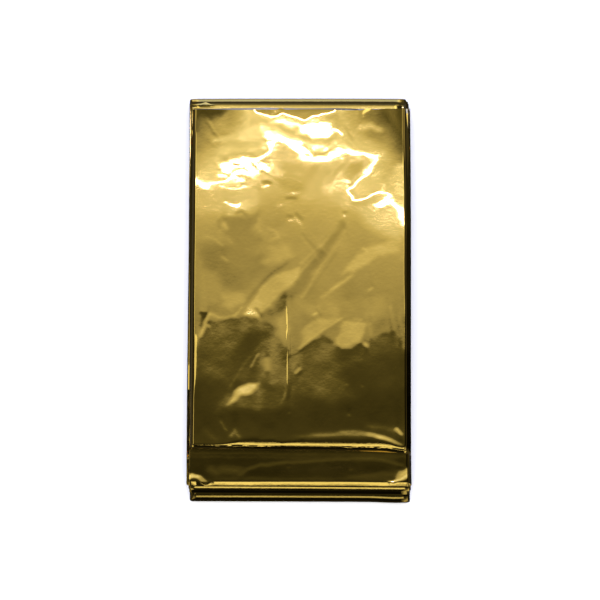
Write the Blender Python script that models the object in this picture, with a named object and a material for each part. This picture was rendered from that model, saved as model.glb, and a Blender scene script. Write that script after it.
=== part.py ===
"""Emergency foil blanket, folded into its pocket-sized pack.

The 2.1 m side of the film is pleated into a narrow strip, and the 1.6 m strip is then folded back and
forth on itself. One solid holds that back-and-forth section: each layer is the whole bundle of pleats.
Units are millimetres here and are turned into metres when the mesh is made. +Z is up, the pack lies on
its last panel, +Y runs along the panels towards the end where the strip starts, and the origin is the
middle of the pack's footprint.
"""

from collections import namedtuple
from math import cos, exp, pi, radians, sin

import bmesh
import bpy

MM = 0.001

# ---- driving dimensions, in millimetres ----
STRIP_LENGTH = 1600.0  # the blanket's shorter side, which runs along the strip
BUNDLE = 1.0  # thickness of the pleated strip
LAYER_GAP = 0.35  # air between two layers where they are pressed together
SIDE_EDGE_SHARE = 0.45  # how thick the strip still is at its two long edges, as a share of BUNDLE
LAYER_PUFF = 0.16  # extra air between two layers at the middle of the pack
TOP_PUFF = 1.5  # extra air under the top panel
PUFF_POWER_ALONG = 2.6  # how flat the crown is along the panels
PUFF_POWER_ACROSS = 14.0  # how flat the top panel's crown is across them
SIDE_SAG = 0.3  # share of the lower layers' puff that is lost at their sides
CORNER_SAG = 0.12  # how far each layer sinks more at the two corners of the +Y end
CORNER_SAG_START = 34.0  # the y from which it does

# A row for each end of a panel, in the order in which they are folded. reach is the y of the end's
# outermost edge, left and right are the strip's two sides there, and skew is how much further the right
# end of the fold lies than its left end. The first row is the strip's free end, on top.
Turn = namedtuple("Turn", "reach left right skew")
TURNS = [
    Turn(reach=67.6, left=-36.6, right=39.3, skew=-0.4),
    Turn(reach=-53.1, left=-37.9, right=39.2, skew=-0.9),
    Turn(reach=69.8, left=-38.7, right=37.5, skew=-0.3),
    Turn(reach=-66.2, left=-40.0, right=40.0, skew=-0.3),
    Turn(reach=70.9, left=-38.5, right=37.9, skew=-0.2),
    Turn(reach=-67.6, left=-39.3, right=39.8, skew=-0.5),
    Turn(reach=72.1, left=-38.9, right=38.2, skew=0.0),
    Turn(reach=-70.2, left=-39.2, right=39.6, skew=-0.6),
    Turn(reach=71.3, left=-38.9, right=39.0, skew=0.3),
    Turn(reach=-71.8, left=-39.0, right=39.6, skew=-0.3),
    Turn(reach=71.0, left=-39.2, right=39.3, skew=-0.2),
    Turn(reach=-71.5, left=-38.9, right=39.4, skew=0.2),
]
LAST_SIDES = (-38.7, 39.0)  # left and right side of the strip's other free end, underneath

# Creases and swells of the top panel: a straight line from start to end, how wide it is, and how far it
# stands up, or down where that is negative. A line whose ends meet is a round dent or swell.
Crease = namedtuple("Crease", "x0 y0 x1 y1 width rise")
CREASES = [
    Crease(x0=14.0, y0=31.0, x1=-25.0, y1=-17.0, width=3.4, rise=0.30),
    Crease(x0=19.0, y0=24.0, x1=-20.0, y1=-26.0, width=3.2, rise=-0.28),
    Crease(x0=-3.2, y0=-2.0, x1=-3.2, y1=-35.0, width=2.6, rise=0.22),
    Crease(x0=15.0, y0=-7.0, x1=-6.0, y1=-21.0, width=2.6, rise=-0.20),
    Crease(x0=-34.0, y0=42.0, x1=-10.0, y1=53.0, width=4.0, rise=0.35),
    Crease(x0=0.5, y0=57.0, x1=13.0, y1=50.0, width=5.0, rise=0.38),
    Crease(x0=31.0, y0=50.0, x1=16.0, y1=39.0, width=4.5, rise=0.32),
    Crease(x0=20.0, y0=35.0, x1=35.0, y1=28.0, width=4.0, rise=-0.28),
    Crease(x0=-25.0, y0=-31.0, x1=-14.0, y1=-37.0, width=4.0, rise=0.28),
    Crease(x0=-22.0, y0=12.0, x1=-30.0, y1=-4.0, width=6.0, rise=-0.25),
]
EDGE_FADE = 5.0  # creases fade out this near the panel's edges

# ---- how finely the shape is cut up ----
STATIONS = (-1, -0.965, -0.89, -0.72, -0.55, -0.38, -0.22, -0.07, 0.08, 0.23, 0.38, 0.54, 0.71, 0.89, 0.965, 1)
HIDDEN_KNOTS = (-56.0, -34.0, 0.0, 34.0, 56.0)
TOP_STEPS = 22
FOLD_STEPS = 5

PANELS = len(TURNS)
PITCH = BUNDLE + LAYER_GAP
FOIL_COLOUR = (0.72, 0.53, 0.17, 1.0)


def mix(a, b, share):
    return a + (b - a) * share


def clear_scene():
    for thing in list(bpy.data.objects):
        bpy.data.objects.remove(thing)


def bump(x, y, crease):
    """How high one crease stands at a point: full along its line, falling away to both sides."""
    along_x, along_y = crease.x1 - crease.x0, crease.y1 - crease.y0
    run = along_x**2 + along_y**2
    share = ((x - crease.x0) * along_x + (y - crease.y0) * along_y) / run
    share = min(1.0, max(0.0, share))
    gap_x = x - mix(crease.x0, crease.x1, share)
    gap_y = y - mix(crease.y0, crease.y1, share)
    return crease.rise * exp(-(gap_x**2 + gap_y**2) / crease.width**2)


def last_turn():
    """The strip's other free end: what is left of its length after the panels before it."""
    used = 0.0
    for before, after in zip(TURNS, TURNS[1:]):
        used += abs(before.reach - after.reach)
    saved_at_folds = (PANELS - 1) * (2 * (PITCH + BUNDLE) / 2 - pi * PITCH / 2)
    left_over = STRIP_LENGTH - used + saved_at_folds
    return Turn(TURNS[-1].reach + left_over, *LAST_SIDES, skew=0.0)


ENDS = TURNS + [last_turn()]


def panel_puff(panel, x_share, y):
    """Air under one panel at a point, as a share of the most: none at its ends and sides."""
    a, b = ENDS[panel].reach, ENDS[panel + 1].reach
    along = abs(2 * y - a - b) / abs(a - b)
    if along >= 1:
        return 0.0
    across = 1 - abs(x_share) ** PUFF_POWER_ACROSS if panel == 0 else 1 - SIDE_SAG * x_share**2
    return (1 - along**PUFF_POWER_ALONG) * across


def corner_share(x_share, y):
    """From 0 over most of the pack to 1 at the two corners of its +Y end."""
    along = min(1.0, max(0.0, (y - CORNER_SAG_START) / (ENDS[0].reach - CORNER_SAG_START)))
    return along**2 * abs(x_share) ** 3


def top_relief(x_share, y):
    """The creases of the top panel, faded out towards its edges."""
    a, b = ENDS[0], ENDS[1]
    share = (y - a.reach) / (b.reach - a.reach)
    half = mix(a.right - a.left, b.right - b.left, share) / 2
    x = mix(a.left + a.right, b.left + b.right, share) / 2 + x_share * half
    to_edge = min(half * (1 - abs(x_share)), a.reach - y, y - b.reach)
    fade = min(1.0, max(0.0, to_edge / EDGE_FADE))
    return fade * sum(bump(x, y, crease) for crease in CREASES)


def level(panel, x_share, y):
    """Height of the middle of a layer, which lies on all the layers under it."""
    layers_below = PANELS - 1 - panel
    height = BUNDLE / 2 + layers_below * (PITCH - CORNER_SAG * corner_share(x_share, y))
    for lower in range(panel, PANELS - 1):
        puff = TOP_PUFF if lower == 0 else LAYER_PUFF
        height += puff * panel_puff(lower, x_share, y)
    if panel == 0:
        height += top_relief(x_share, y)
    return height


def way_along(end):
    """+1 for an end that lies towards +Y, -1 for one towards -Y."""
    return 1 if end % 2 == 0 else -1


def straight_run(end):
    """The y at which the panels beside this end stop being straight."""
    if end in (0, PANELS):
        return ENDS[end].reach
    return ENDS[end].reach - way_along(end) * (PITCH + BUNDLE) / 2


def panel_knots(panel):
    """The y of each point along a panel, from its start to its end."""
    start, stop = straight_run(panel), straight_run(panel + 1)
    if panel == 0:
        return [mix(start, stop, i / TOP_STEPS) for i in range(TOP_STEPS + 1)]
    low, high = sorted((start, stop))
    between = [y for y in HIDDEN_KNOTS if low + 3 < y < high - 3]
    if stop < start:
        between.reverse()
    return [start, *between, stop]


def centre_line(x_share):
    """The layer's middle line at one station, as (y, z, strip row position) from end to end."""
    line = []
    for panel in range(PANELS):
        a, b = ENDS[panel].reach, ENDS[panel + 1].reach
        for y in panel_knots(panel):
            line.append((y, level(panel, x_share, y), panel + (y - a) / (b - a)))
        if panel == PANELS - 1:
            break
        fold = panel + 1
        centre_y = straight_run(fold)
        above, below = level(panel, x_share, centre_y), level(fold, x_share, centre_y)
        middle, radius = (above + below) / 2, (above - below) / 2
        for step in range(1, FOLD_STEPS):
            turn = pi * step / FOLD_STEPS
            y = centre_y + way_along(fold) * radius * sin(turn)
            line.append((y, middle + radius * cos(turn), fold))
    return line


def side_of_strip(position, x_share):
    """The x of a station, from the strip's left and right side at this place along it."""
    before = min(int(position), PANELS - 1)
    share = min(1.0, max(0.0, position - before))
    left = mix(ENDS[before].left, ENDS[before + 1].left, share)
    right = mix(ENDS[before].right, ENDS[before + 1].right, share)
    return (left + right) / 2 + x_share * (right - left) / 2


def skew_of_strip(position, x_share):
    before = min(int(position), PANELS - 1)
    share = min(1.0, max(0.0, position - before))
    return mix(ENDS[before].skew, ENDS[before + 1].skew, share) * x_share / 2


def thickness(x_share):
    """Full across the strip, thinner at its two rounded long edges."""
    return BUNDLE * (SIDE_EDGE_SHARE if abs(x_share) >= 1 else 1.0)


def section(x_share):
    """One closed outline of the folded strip, as corners in metres: up one face and back down the other."""
    line = centre_line(x_share)
    half = thickness(x_share) / 2
    faces = ([], [])
    for i, (y, z, position) in enumerate(line):
        y0, z0, _ = line[max(0, i - 1)]
        y1, z1, _ = line[min(len(line) - 1, i + 1)]
        run = ((y1 - y0) ** 2 + (z1 - z0) ** 2) ** 0.5
        out_y, out_z = -(z0 - z1) / run, (y0 - y1) / run
        if position >= PANELS - 1:
            out_y, out_z = 0.0, -1.0
        x = side_of_strip(position, x_share)
        lean = skew_of_strip(position, x_share)
        for face, side in zip(faces, (1, -1)):
            face.append((x * MM, (y + lean + side * half * out_y) * MM, (z + side * half * out_z) * MM))
    return faces[0] + faces[1][::-1]


def centre_over_origin(mesh):
    """Moves the mesh so that the middle of its footprint is the origin."""
    for axis in (0, 1):
        places = [corner.co[axis] for corner in mesh.verts]
        middle = (min(places) + max(places)) / 2
        for corner in mesh.verts:
            corner.co[axis] -= middle


def folded_strip(name):
    """The whole blanket as one closed mesh: outlines at each station, bridged, with both sides closed."""
    mesh = bmesh.new()
    rings = [[mesh.verts.new(corner) for corner in section(share)] for share in STATIONS]
    count = len(rings[0])
    for ring, after in zip(rings, rings[1:]):
        for i in range(count):
            j = (i + 1) % count
            mesh.faces.new((ring[i], ring[j], after[j], after[i]))
    for ring in (rings[0], rings[-1]):
        for i in range(count // 2 - 1):
            mesh.faces.new((ring[i], ring[i + 1], ring[count - 2 - i], ring[count - 1 - i]))
    bmesh.ops.recalc_face_normals(mesh, faces=mesh.faces)
    centre_over_origin(mesh)
    data = bpy.data.meshes.new(name)
    mesh.to_mesh(data)
    mesh.free()
    data.shade_smooth()
    data.set_sharp_from_angle(angle=radians(40))
    thing = bpy.data.objects.new(name, data)
    bpy.context.scene.collection.objects.link(thing)
    return thing


def foil_material():
    """Gold-coated film: metallic and glossy."""
    material = bpy.data.materials.new("gold_foil")
    material.use_nodes = True
    shader = material.node_tree.nodes["Principled BSDF"]
    shader.inputs["Base Color"].default_value = FOIL_COLOUR
    shader.inputs["Metallic"].default_value = 1.0
    shader.inputs["Roughness"].default_value = 0.15
    material.diffuse_color = FOIL_COLOUR
    return material


clear_scene()
blanket = folded_strip("blanket")
blanket.data.materials.append(foil_material())
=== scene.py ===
"""Looks for the folded emergency foil blanket: the gold film, its pleats and creases, and the studio.

Lengths are in millimetres until a mesh or a light is made, which is in metres.
"""

from collections import namedtuple
from math import inf, pi, radians, sin

import bpy
import numpy as np
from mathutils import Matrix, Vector


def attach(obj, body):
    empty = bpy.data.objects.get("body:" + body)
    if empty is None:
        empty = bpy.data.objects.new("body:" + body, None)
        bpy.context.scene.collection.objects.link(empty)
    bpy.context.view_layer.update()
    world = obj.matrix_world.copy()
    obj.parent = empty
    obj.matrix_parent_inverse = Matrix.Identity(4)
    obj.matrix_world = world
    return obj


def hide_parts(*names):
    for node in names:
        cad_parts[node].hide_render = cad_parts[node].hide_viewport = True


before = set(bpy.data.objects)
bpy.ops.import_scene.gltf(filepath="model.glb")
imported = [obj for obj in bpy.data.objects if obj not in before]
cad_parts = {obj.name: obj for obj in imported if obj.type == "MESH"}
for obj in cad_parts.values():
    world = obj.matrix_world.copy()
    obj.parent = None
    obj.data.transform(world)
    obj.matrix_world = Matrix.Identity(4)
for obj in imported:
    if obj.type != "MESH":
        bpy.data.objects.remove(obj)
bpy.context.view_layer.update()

MM = 0.001
CUT_WIDTH, CUT_LENGTH = 2.10, 1.60  # the sheet before it is folded, in metres

# ---- how the sheet is folded: each edge within a millimetre of where the solid has it ----
PLIES = 26  # pleats lying on each other in the strip
BUNDLE = 1.0  # thickness of the pleated strip
LAYER_GAP = 0.35  # between two layers, at their folds
TOP_PUFF, LAYER_PUFF = 1.5, 0.16  # how much more it is mid-panel: under the top layer, under the others
PUFF_POWER_ALONG, PUFF_POWER_ACROSS = 2.6, 14.0  # how flat the top of the puff is
SIDE_SAG = 0.3  # the share of a lower layer's puff that is gone at its side edges
CORNER_SAG, CORNER_SAG_START = 0.12, 34.0  # the far corners press together, from this far back

Turn = namedtuple("Turn", "reach left right skew")
TURNS = [
    Turn(reach=67.6, left=-37.6, right=39.3, skew=-0.4),
    Turn(reach=-53.1, left=-38.7, right=39.5, skew=-0.9),
    Turn(reach=69.8, left=-38.7, right=37.5, skew=-0.3),
    Turn(reach=-66.2, left=-40.0, right=40.0, skew=-0.3),
    Turn(reach=70.9, left=-38.5, right=37.9, skew=-0.2),
    Turn(reach=-67.9, left=-39.3, right=39.8, skew=-0.5),
    Turn(reach=72.1, left=-38.9, right=38.2, skew=0.0),
    Turn(reach=-69.3, left=-39.2, right=39.6, skew=-0.6),
    Turn(reach=71.3, left=-38.9, right=39.0, skew=0.3),
    Turn(reach=-72.3, left=-39.0, right=39.6, skew=-0.3),
    Turn(reach=71.0, left=-39.2, right=39.3, skew=-0.2),
    Turn(reach=-72.0, left=-38.9, right=39.4, skew=0.2),
]
LAST_SIDES = (-38.7, 39.0)  # left and right edge at the strip's end underneath
PANELS = len(TURNS)
PITCH = BUNDLE + LAYER_GAP
PLY_STEP = BUNDLE / PLIES
SEGMENTS = 2 * PANELS - 1  # panels at even numbers, the folds between them at odd ones


def last_turn():
    """The strip's free end underneath: what is left of its length."""
    used = sum(abs(a.reach - b.reach) for a, b in zip(TURNS, TURNS[1:]))
    saved_at_folds = (PANELS - 1) * ((PITCH + BUNDLE) - pi * PITCH / 2)
    return Turn(TURNS[-1].reach + CUT_LENGTH / MM - used + saved_at_folds, *LAST_SIDES, skew=0.0)


ENDS = TURNS + [last_turn()]
REACH, LEFT, RIGHT, SKEW = (np.array(column) for column in zip(*ENDS))


# ---- the path of the strip ----
def panel_puff(panel, u, y):
    """The share of its puff that a panel has here, where u runs from -1 to 1 across it."""
    a, b = REACH[panel], REACH[panel + 1]
    along = np.abs(2 * y - a - b) / abs(a - b)
    across = 1 - np.abs(u) ** PUFF_POWER_ACROSS if panel == 0 else 1 - SIDE_SAG * u**2
    return np.clip(1 - along**PUFF_POWER_ALONG, 0, 1) * across


def level(panel, u, y):
    """Height of the middle of a layer, which lies on all the layers under it."""
    corner = np.clip((y - CORNER_SAG_START) / (REACH[0] - CORNER_SAG_START), 0, 1) ** 2 * np.abs(u) ** 3
    height = BUNDLE / 2 + (PITCH - CORNER_SAG * corner) * (PANELS - 1 - panel)
    for lower in range(panel, PANELS - 1):
        height += (TOP_PUFF if lower == 0 else LAYER_PUFF) * panel_puff(lower, u, y)
    return height


def way_along(end):
    """Which way the strip points where it ends or turns: 1 to the back, -1 to the front."""
    return 1 if end % 2 == 0 else -1


def straight_run(end):
    """Where along Y a fold starts to turn."""
    if end in (0, PANELS):
        return REACH[end]
    return REACH[end] - way_along(end) * (PITCH + BUNDLE) / 2


# ---- how the top film leans ----
# The top film is creased as listed: each row says how far it leans along a path or over a patch, and the
# height is what gives those slopes. A lean is twice the film's slope, because that is how far it turns
# the light that it mirrors: above 0 towards +Y, below 0 towards -Y.
SEEN_FROM = 1200.0  # leans are as seen from this far over the middle
FIELD_STEP = 0.32
FIELD_X = np.arange(-46.0, 46.1, FIELD_STEP)
FIELD_Y = np.arange(-62.0, 76.1, FIELD_STEP)
OVERHANG_Y = np.arange(-72.0, -45.9, FIELD_STEP)
OVERHANG_LEAN = -15.0
# how strongly the film keeps its leans across, against those along
OVERHANG_STIFFNESS, SIDE_STIFFNESS = 0.1, 0.05

MIDDLE_LEAN = [  # (y, lean) along the middle
    (-62, -9), (-50, -8), (-39, -7), (-28, -5.5), (-18, -4.2), (-14, -3.0), (-7, -1.5), (3.6, 0.3),
    (14, 1.6), (25, 2.8), (33, 4.8), (39, 6.6), (44, 7.6), (53, 10), (60, 11), (67, 12), (75, 12),
]
LEFT_LEAN = [(14, 0), (25, 1), (35.5, 1), (44, 4), (53, 6), (60, 9), (67, 12), (75, 14)]  # added at the sides
RIGHT_LEAN = [(3.6, 0), (14, 1), (25, 3), (35.5, 3.5), (44, 3), (53, 5), (60, 10), (67, 13), (75, 15)]
ADDED_AT, ADDED_POWER = 36, 2.2  # how far out those are reached, and how late they set in

Patch = namedtuple("Patch", "lean soft outline")  # soft: how far its edge fades to each side
Stroke = namedtuple("Stroke", "lean width soft path")  # width: from its path to the middle of that edge
HOT = 12.5  # the lean that mirrors the light strip
LEANS = [
    # upper half: past the crest line, towards the free end
    Patch(14.9, 0.57, ((-42.2, 44), (-36.2, 44), (-35.1, 40.1), (-33.3, 39.1), (-31.2, 41.2), (-27.7, 42.3),
        (-26.2, 42.6), (-24.1, 45.1), (-27.3, 45.5), (-28.7, 47.9), (-25.9, 49.4), (-23, 50.4), (-20.6, 51.5),
        (-17.4, 51.1), (-14.9, 50.8), (-13.1, 51.5), (-10.3, 52.6), (-11.7, 55.7), (-13.1, 58.6),
        (-13.5, 61.8), (-11, 61.8), (-7.8, 60.7), (-4.6, 58.6), (-1.1, 57.2), (1.1, 54.7), (4.6, 50.4),
        (9.2, 50.8), (13.5, 55.7), (16.7, 55.4), (20.6, 53.3), (23.8, 52.2), (31.6, 52.9), (29.4, 49.7),
        (26.6, 47.6), (25.2, 44.8), (20.6, 42.3), (17.4, 39.1), (18.8, 36.2), (23.8, 36.6), (29.1, 38.7),
        (33, 37.7), (35.1, 32.7), (37.2, 26.7), (42.9, 24.9), (42.9, 74.5), (-42.2, 74.5))),
    # olive shade of the two far corners
    Patch(18, 3.54, ((-42.2, 78.1), (-17.4, 78.1), (-19.5, 66.7), (-23.8, 61.1), (-27.3, 55.4), (-30.8, 52.6),
        (-34, 47.9), (-36.5, 45.5), (-42.2, 44))),
    Patch(21.5, 2.84, ((-42.2, 78.1), (-25.2, 78.1), (-27.3, 66.7), (-30.1, 62.5), (-33.7, 58.2),
        (-35.1, 52.6), (-42.2, 49.7))),
    Patch(29, 2.48, ((-42.2, 78.1), (-31.6, 78.1), (-33.7, 66.7), (-35.4, 63.2), (-37.2, 59.6),
        (-42.2, 56.8))),
    Patch(17.2, 2.84, ((14.5, 78.1), (42.9, 78.1), (42.9, 32.7), (36.5, 34.1), (33.7, 39.1), (30.1, 43.3),
        (30.1, 46.9), (33, 51.1), (32.3, 54.3), (28, 54.3), (23.8, 56.8), (18.8, 61.1), (15.2, 65.3))),
    Patch(21.5, 3.19, ((22.3, 78.1), (42.9, 78.1), (42.9, 38.4), (37.2, 40.5), (34.4, 45.5), (34.4, 50.4),
        (32.3, 56.8), (28, 58.9), (23, 63.9))),
    Patch(30, 2.84, ((27.3, 78.1), (42.9, 78.1), (42.9, 49.7), (37.2, 51.1), (35.8, 56.8), (33, 61.8),
        (29.4, 65))),
    # strip next to the free end that flattens again
    Patch(3.5, 0.57, ((-17.4, 76.7), (-16.7, 68.2), (-15.2, 66.7), (-12.4, 65.7), (-6.7, 65.5), (-0.7, 65.3),
        (2.5, 63.9), (4.6, 65.3), (8.9, 66.4), (14.5, 67.8), (15.2, 76.7))),
    # below the crest line: deep gold
    Patch(7.3, 0.78, ((-13.1, 49.7), (-10.3, 51.1), (-8.2, 56.8), (-5, 56.8), (-1.1, 54.7), (0.4, 50.4),
        (2.5, 48.3), (-3.2, 46.2), (-10.3, 44.8), (-13.1, 46.9))),
    Patch(7.8, 0.78, ((12.1, 50.4), (16.3, 52.6), (20.2, 51.1), (28, 50.4), (25.2, 46.9), (18.8, 43.3),
        (15.2, 41.2), (12.1, 44), (11, 47.6))),
    Patch(5.2, 1.06, ((15.6, 47.6), (22, 48.7), (22.3, 45.8), (18.1, 43), (13.1, 43))),
    Patch(4.2, 1.77, ((-7.4, 42.6), (-3.2, 44.4), (1.4, 41.9), (1.8, 38.4), (-1.8, 37), (-5.3, 39.1))),
    Patch(13.6, 1.06, ((-21.6, 58.2), (-19.1, 60.4), (-13.8, 62.1), (-13.1, 56.1), (-17.4, 55.7),
        (-20.9, 56.5))),
    Patch(9.6, 1.24, ((0.4, 62.5), (11.7, 63.9), (12.4, 58.9), (6, 57.9), (0.4, 58.9))),
    Patch(10.6, 1.42, ((-11, 64.6), (-3.2, 64.3), (0.4, 62.5), (-2.5, 61.1), (-9.6, 63.2))),
    # light gold below the crest line at left and right
    Patch(7.2, 2.13, ((-38.6, 39.8), (-29.8, 40.5), (-20.9, 41.9), (-14.5, 43.3), (-11, 41.9), (-11.7, 37),
        (-14.5, 33.4), (-18.8, 31.3), (-26.2, 30.6), (-33.3, 31.3), (-38.6, 31.3))),
    Patch(8.2, 2.48, ((18.8, 34.1), (25.9, 35.5), (33, 33.4), (36.5, 30.6), (37.9, 19.2), (34.4, 20.6),
        (28.7, 24.2), (23, 27.7))),
    Patch(7.4, 1.77, ((6, 47.6), (14.5, 49.7), (16.7, 44), (15.2, 39.1), (11, 37), (7.4, 41.2))),
    # shallow dents of the free end's neighbourhood
    Stroke(16, 0.25, 0.5, ((-32.3, 64.3), (-29.8, 60), (-27.3, 56.5), (-24.8, 53.3))),
    Stroke(24, 0.25, 0.5, ((-33, 63.5), (-30.5, 59.3), (-28, 55.7))),
    Stroke(17, 0.35, 0.64, ((-28.4, 62.1), (-24.5, 62.8), (-20.9, 62.8))),
    Stroke(15.5, 0.28, 0.57, ((20.6, 60), (23, 63.2), (26.2, 62.8))),
    Stroke(14, 0.92, 1.06, ((22, 61.4), (25.9, 61.8), (28.7, 60.7))),
    Stroke(6, 0.28, 0.43, ((12.4, 60.7), (14.2, 60), (15.6, 58.6))),
    Stroke(18.5, 0.28, 0.5, ((16.3, 62.1), (17.7, 59.3), (19.1, 57.2))),
    Stroke(19, 1.06, 1.42, ((25.9, 59.6), (30.8, 57.5))),
    Stroke(20.5, 0.71, 1.42, ((-34.4, 56.8), (-29.4, 55.4))),
    Stroke(16.4, 0.32, 0.57, ((-33, 52.6), (-30.5, 49), (-29.1, 45.5))),
    Patch(28, 1.42, ((-42.2, 71), (-25.2, 71), (-25.5, 67.4), (-28, 65.3), (-32.3, 64.3), (-42.2, 63.2))),
    Stroke(13.3, 1.06, 1.06, ((-27.3, 52.2), (-22.3, 53.3), (-17.4, 53.6), (-14.5, 53.3))),
    Stroke(13.8, 0.89, 1.42, ((-30.1, 56.1), (-25.2, 57.2), (-20.9, 57.9))),
    Patch(5.2, 2.48, ((-5.3, 49), (1.8, 49), (6, 46.9), (3.9, 41.9), (-3.2, 41.2), (-6, 45.5))),
    Patch(15.5, 1.42, ((34.7, 49.7), (37.9, 49.7), (37.9, 37), (33.7, 38.4), (31.6, 43.3))),
    # hot lines
    Stroke(HOT, 0.32, 0.46, ((-19.9, 67.6), (-16.7, 66.4), (-13.1, 65.1), (-6.7, 65.1), (-0.7, 65),
        (2.5, 63.2), (4.6, 64.6), (8.9, 65.7), (16.3, 67.8))),
    Stroke(HOT, 1.06, 0.89, ((3.9, 63.5), (8.2, 63.9))),
    Stroke(HOT, 0.64, 0.64, ((-13.1, 62.1), (-11, 61.6), (-8.5, 61.1), (-5, 58.6), (-2.8, 57.5),
        (0.4, 56.5))),
    Stroke(HOT, 1.42, 1.06, ((1.8, 55.4), (5.3, 54.3), (11, 54.3), (13.5, 55.7))),
    Stroke(HOT, 0.35, 0.43, ((-13.5, 61.8), (-13.1, 57.5))),
    Stroke(HOT, 1.28, 0.71, ((-12.4, 55), (-11.3, 52.9))),
    Stroke(HOT, 0.35, 0.43, ((2.5, 50.4), (6.7, 49.7), (10.3, 51.1))),
    Stroke(HOT, 0.35, 0.43, ((-5, 56.5), (-2.5, 54.7), (-0.7, 52.9))),
    Stroke(HOT, 0.85, 0.71, ((-34.4, 40.1), (-32.6, 39.8))),
    Stroke(HOT, 0.6, 0.57, ((-23.4, 46.2), (-19.9, 46.9), (-17.7, 45.1))),
    Stroke(HOT, 0.25, 0.43, ((-26.6, 42.6), (-24.8, 44.4), (-23.4, 45.8))),
    Stroke(HOT, 0.43, 0.43, ((-14.2, 46.9), (-13.1, 48.3), (-11.3, 46.2))),
    Stroke(HOT, 0.28, 0.35, ((-16.3, 47.2), (-14.5, 45.1))),
    Stroke(HOT, 0.28, 0.35, ((-17, 53.3), (-14.5, 51.8))),
    Stroke(HOT, 0.5, 0.43, ((-20.9, 57.5), (-18.1, 57.2))),
    Stroke(HOT, 0.43, 0.43, ((13.5, 59.3), (14.9, 57.5), (15.6, 55.7), (17.4, 53.6))),
    Stroke(HOT, 0.85, 0.71, ((28.7, 34.1), (30.8, 34.8), (32.6, 36.6))),
    Stroke(HOT, 0.5, 0.53, ((32.6, 35.9), (35.1, 32.7), (36.5, 27.7), (36.9, 22.8))),
    Stroke(10.5, 0.28, 0.35, ((-21.6, 42.3), (-19.9, 42.3))),
    Stroke(12.2, 0.28, 0.35, ((-22, 33.1), (-20.6, 34.1))),
    Stroke(12.2, 0.25, 0.35, ((-26.6, 34.8), (-23.8, 33.4), (-21.6, 33.1))),
    Stroke(9.5, 0.28, 0.43, ((-28, 40.1), (-22.3, 39.4), (-17.4, 40.5))),
    Stroke(12.2, 0.35, 0.35, ((15.6, 54), (17.4, 53.3))),
    Stroke(12.2, 0.43, 0.43, ((30.1, 41.2), (29.8, 39.1))),
    Stroke(12.4, 0.35, 0.43, ((25.9, 44), (28, 45.5))),
    Stroke(12.4, 0.28, 0.35, ((27.3, 33.8), (29.8, 33.4))),
    # gold hollows between them
    Stroke(5, 0.35, 0.43, ((-23.4, 48.3), (-21.3, 47.9))),
    Stroke(8.5, 0.43, 0.5, ((-20.6, 47.6), (-18.4, 49.4))),
    Stroke(7, 0.32, 0.43, ((-26.6, 45.8), (-25.2, 45.8))),
    Stroke(9, 0.32, 0.43, ((-26.9, 48.3), (-24.5, 47.9))),
    Stroke(7, 0.32, 0.43, ((-28.4, 44), (-26.2, 44))),
    Stroke(6.5, 0.28, 0.43, ((-22.3, 44), (-19.5, 43.7), (-16.7, 43))),
    Stroke(8, 0.35, 0.43, ((-15.2, 50.1), (-14.9, 49.7))),
    Stroke(6, 0.35, 0.5, ((-16.7, 48.7), (-15.2, 46.2))),
    Stroke(5.5, 0.32, 0.43, ((2.5, 51.5), (3.9, 51.5))),
    Stroke(9, 0.28, 0.43, ((8.9, 53.3), (9.9, 53.6))),
    Stroke(9, 0.28, 0.43, ((0.4, 56.1), (1.1, 55.4))),
    Stroke(9.4, 0.5, 0.57, ((4.6, 57.9), (11, 58.6))),
    Stroke(9, 0.35, 0.5, ((1.4, 53.6), (3.5, 52.6))),
    # middle
    Patch(-1.8, 1.6, ((-27.3, 28.8), (-20.9, 29.5), (-15.2, 29.5), (-16, 24.9), (-13.1, 21.4), (-15.6, 17.1),
        (-20.9, 17.8), (-24.5, 21.4), (-26.6, 24.9))),
    Patch(-2.2, 2.13, ((-35.1, 19.2), (-22.7, 19.9), (-13.1, 15.7), (-13.1, 10.7), (-16.7, 5.8), (-20.9, 3.6),
        (-26.6, 4.3), (-30.1, 10), (-34.4, 11.4))),
    Patch(5.5, 1.42, ((-11, 19.2), (-3.2, 19.9), (-2.1, 15.7), (-6.7, 13.6), (-13.1, 13.6))),
    Patch(3.8, 1.77, ((-13.1, 26.3), (-4.6, 25.6), (-5.3, 19.9), (-11.7, 21.4))),
    Patch(6.5, 1.06, ((15.2, 9.7), (18.8, 15), (25.2, 19.2), (30.5, 20.3), (33, 22.8), (35.8, 17.8),
        (28.7, 15.7), (25.5, 12.9), (20.2, 10.7))),
    Patch(6, 0.71, ((-18.8, -5.6), (-17.4, -2), (-14.5, 2.2), (-12.1, 6.5), (-8.5, 9.3), (-3.2, 10.7),
        (0.4, 11.8), (-1.1, 7.2), (-4.6, 2.9), (-9.2, -1.3), (-11.3, -3.8), (-13.8, -6.3))),
    Patch(-2.95, 0.85, ((11, 19.9), (8.2, 18.9), (4.6, 15), (1.1, 10.7), (-1.8, 5.4), (-5.3, 1.5),
        (-9.9, -2.7), (-12.8, -6.6), (-8.5, -6.6), (-3.9, -2), (0, 2.6), (4.3, 9), (8.9, 15.7))),
    Patch(-1, 0.85, ((16.7, 27.7), (13.1, 22.1), (10.3, 17.8), (8.2, 17.8), (11.7, 22.8), (14.9, 27.7))),
    Patch(4, 1.42, ((-27.3, 2.9), (-20.9, 2.9), (-20.2, -1), (-23.8, -3.5), (-27.3, -2))),
    Patch(1.8, 1.42, ((-33, 10), (-28.7, 10), (-28, 3.6), (-30.1, -1.3), (-32.6, -2))),
    Patch(2.2, 1.77, ((0.4, 0.1), (28.7, 1.5), (33, -2), (30.1, -5.6), (14.5, -6.3), (3.9, -5.6))),
    Stroke(-3, 0.43, 0.64, ((-21.6, -5.6), (-19.9, -2.4), (-17.4, 1.2), (-14.5, 4.3), (-11.7, 7.5),
        (-8.2, 10.7), (-3.9, 13.2))),
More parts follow.
